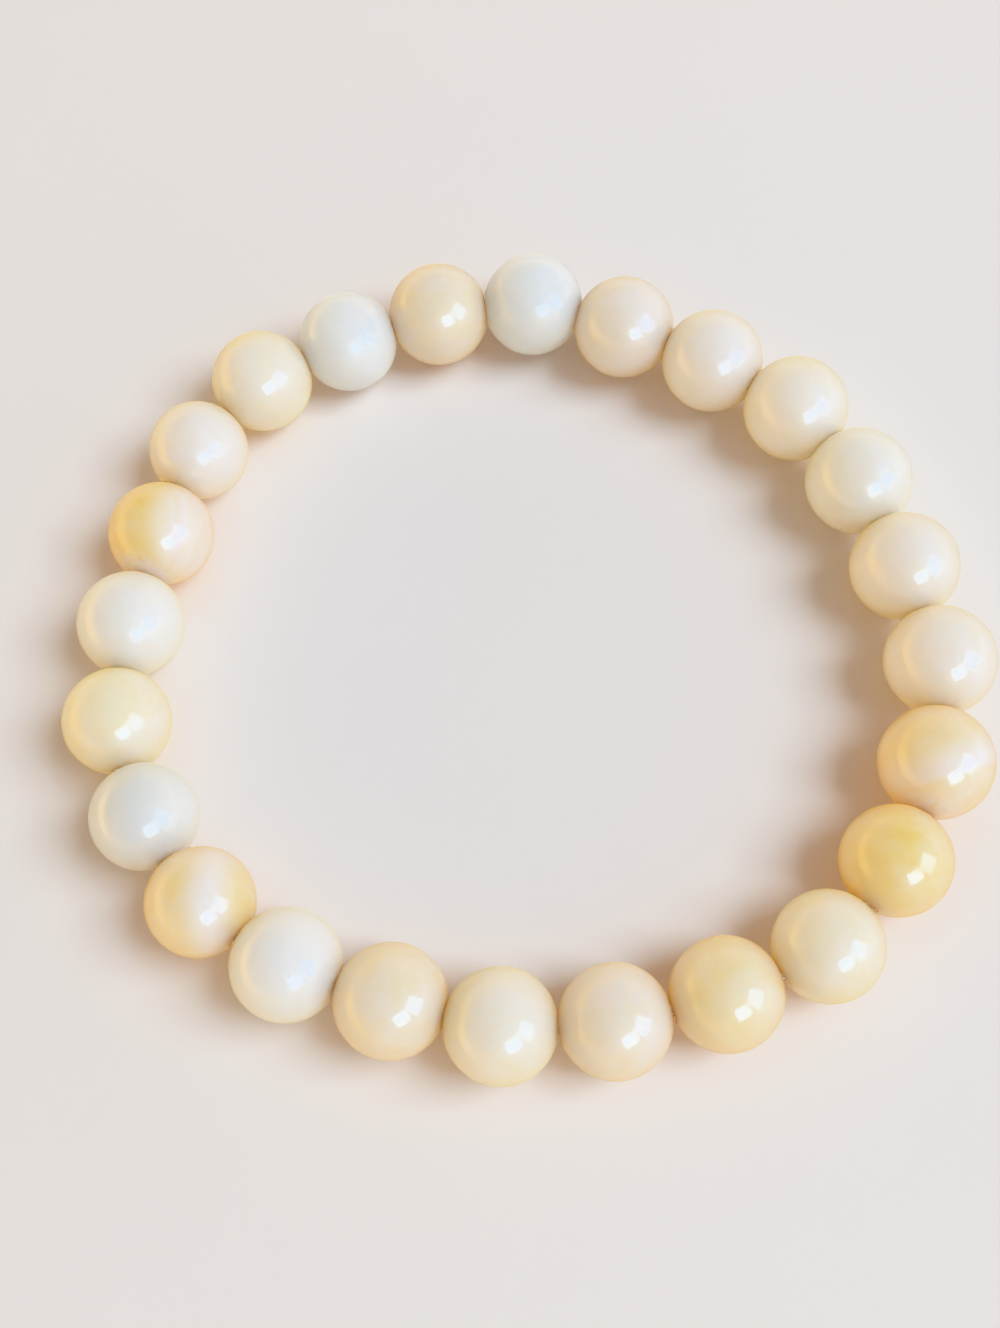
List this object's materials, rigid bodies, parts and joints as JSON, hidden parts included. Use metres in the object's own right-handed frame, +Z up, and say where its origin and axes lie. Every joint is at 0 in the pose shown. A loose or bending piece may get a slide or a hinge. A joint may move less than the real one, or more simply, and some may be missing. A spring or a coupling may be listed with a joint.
{
  "type": "beaded stretch bracelet",
  "caption": "Stretch bracelet of round polished stone beads in white, cream and honey tints on a clear elastic cord, lying in a loose loop.",
  "frame": {"origin": "on the surface the bracelet lies on, under the middle of its box", "axes": "+Z up, through the loop; +X along the loop's longer width, to the right of the wearer's view; +Y to the back of the loop"},
  "size_m": [0.069, 0.0658, 0.0082],
  "materials": {
    "stone_white": "polished, milky and translucent, cool white",
    "stone_grey": "polished, milky and translucent, greyish white",
    "stone_ivory": "polished, milky and translucent, nearly white with a warm rim",
    "stone_cream": "polished, milky and translucent, cream",
    "stone_lemon": "polished, milky and translucent, pale yellow",
    "stone_peach": "polished, milky and translucent, pale peach",
    "stone_honey": "polished, milky and translucent, light honey",
    "stone_amber": "polished, translucent, orange honey with a silky white band",
    "clear_elastic": "clear elastic cord"
  },
  "bodies": {
    "root": {"bead_01": "stone_white", "bead_02": "stone_peach", "bead_03": "stone_cream", "bead_04": "stone_lemon", "bead_05": "stone_ivory", "bead_06": "stone_cream", "bead_07": "stone_cream", "bead_08": "stone_amber", "bead_09": "stone_honey", "bead_10": "stone_lemon", "bead_11": "stone_honey", "bead_12": "stone_peach", "bead_13": "stone_lemon", "bead_14": "stone_peach", "bead_15": "stone_ivory", "bead_16": "stone_amber", "bead_17": "stone_grey", "bead_18": "stone_lemon", "bead_19": "stone_ivory", "bead_20": "stone_amber", "bead_21": "stone_cream", "bead_22": "stone_lemon", "bead_23": "stone_white", "bead_24": "stone_peach", "elastic_cord": "clear_elastic"}
  },
  "joints": []
}
